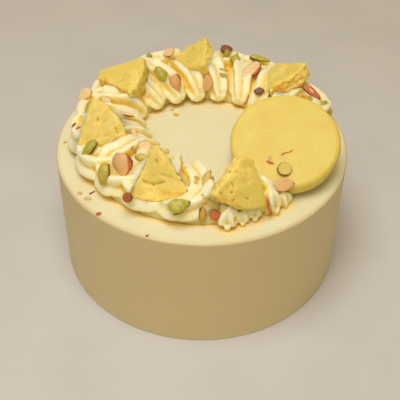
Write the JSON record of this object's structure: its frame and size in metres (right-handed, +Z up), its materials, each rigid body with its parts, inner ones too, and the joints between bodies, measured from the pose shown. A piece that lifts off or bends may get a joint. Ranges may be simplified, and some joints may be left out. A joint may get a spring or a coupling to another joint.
{
  "type": "rasmalai cake",
  "caption": "Round iced cake with a ring of piped cream on top that holds a whole rasmalai disc, rasmalai wedges, and pieces of almond and pistachio.",
  "frame": {"origin": "on the cake's axis at its flat base", "axes": "+Z up, -Y toward the front of the cake, where the whole disc stands at the right"},
  "size_m": [0.184, 0.184, 0.1196],
  "materials": {
    "icing": "soft satin whipped icing",
    "cream": "soft satin piped cream",
    "rasmalai": "moist, fine crumb",
    "almond": "satin nut flesh with a thin brown skin",
    "pistachio": "satin green nut"
  },
  "bodies": {
    "root": {"iced_cake": "icing", "piped_cream": "cream", "rasmalai_disc": "rasmalai", "rasmalai_wedge_front_left": "rasmalai", "rasmalai_wedge_front_right": "rasmalai", "rasmalai_wedge_left": "rasmalai", "rasmalai_wedge_back_left": "rasmalai", "rasmalai_wedge_back": "rasmalai", "rasmalai_wedge_back_right": "rasmalai", "almond_1": "almond", "almond_2": "almond", "almond_3": "almond", "almond_4": "almond", "almond_5": "almond", "almond_6": "almond", "almond_7": "almond", "almond_8": "almond", "almond_9": "almond", "almond_10": "almond", "almond_11": "almond", "almond_12": "almond", "almond_13": "almond", "almond_14": "almond", "almond_15": "almond", "almond_16": "almond", "pistachio_1": "pistachio", "pistachio_2": "pistachio", "pistachio_3": "pistachio", "pistachio_4": "pistachio", "pistachio_5": "pistachio", "pistachio_6": "pistachio", "pistachio_7": "pistachio", "pistachio_8": "pistachio", "pistachio_9": "pistachio", "pistachio_10": "pistachio", "pistachio_11": "pistachio", "pistachio_12": "pistachio", "pistachio_13": "pistachio"}
  },
  "joints": []
}
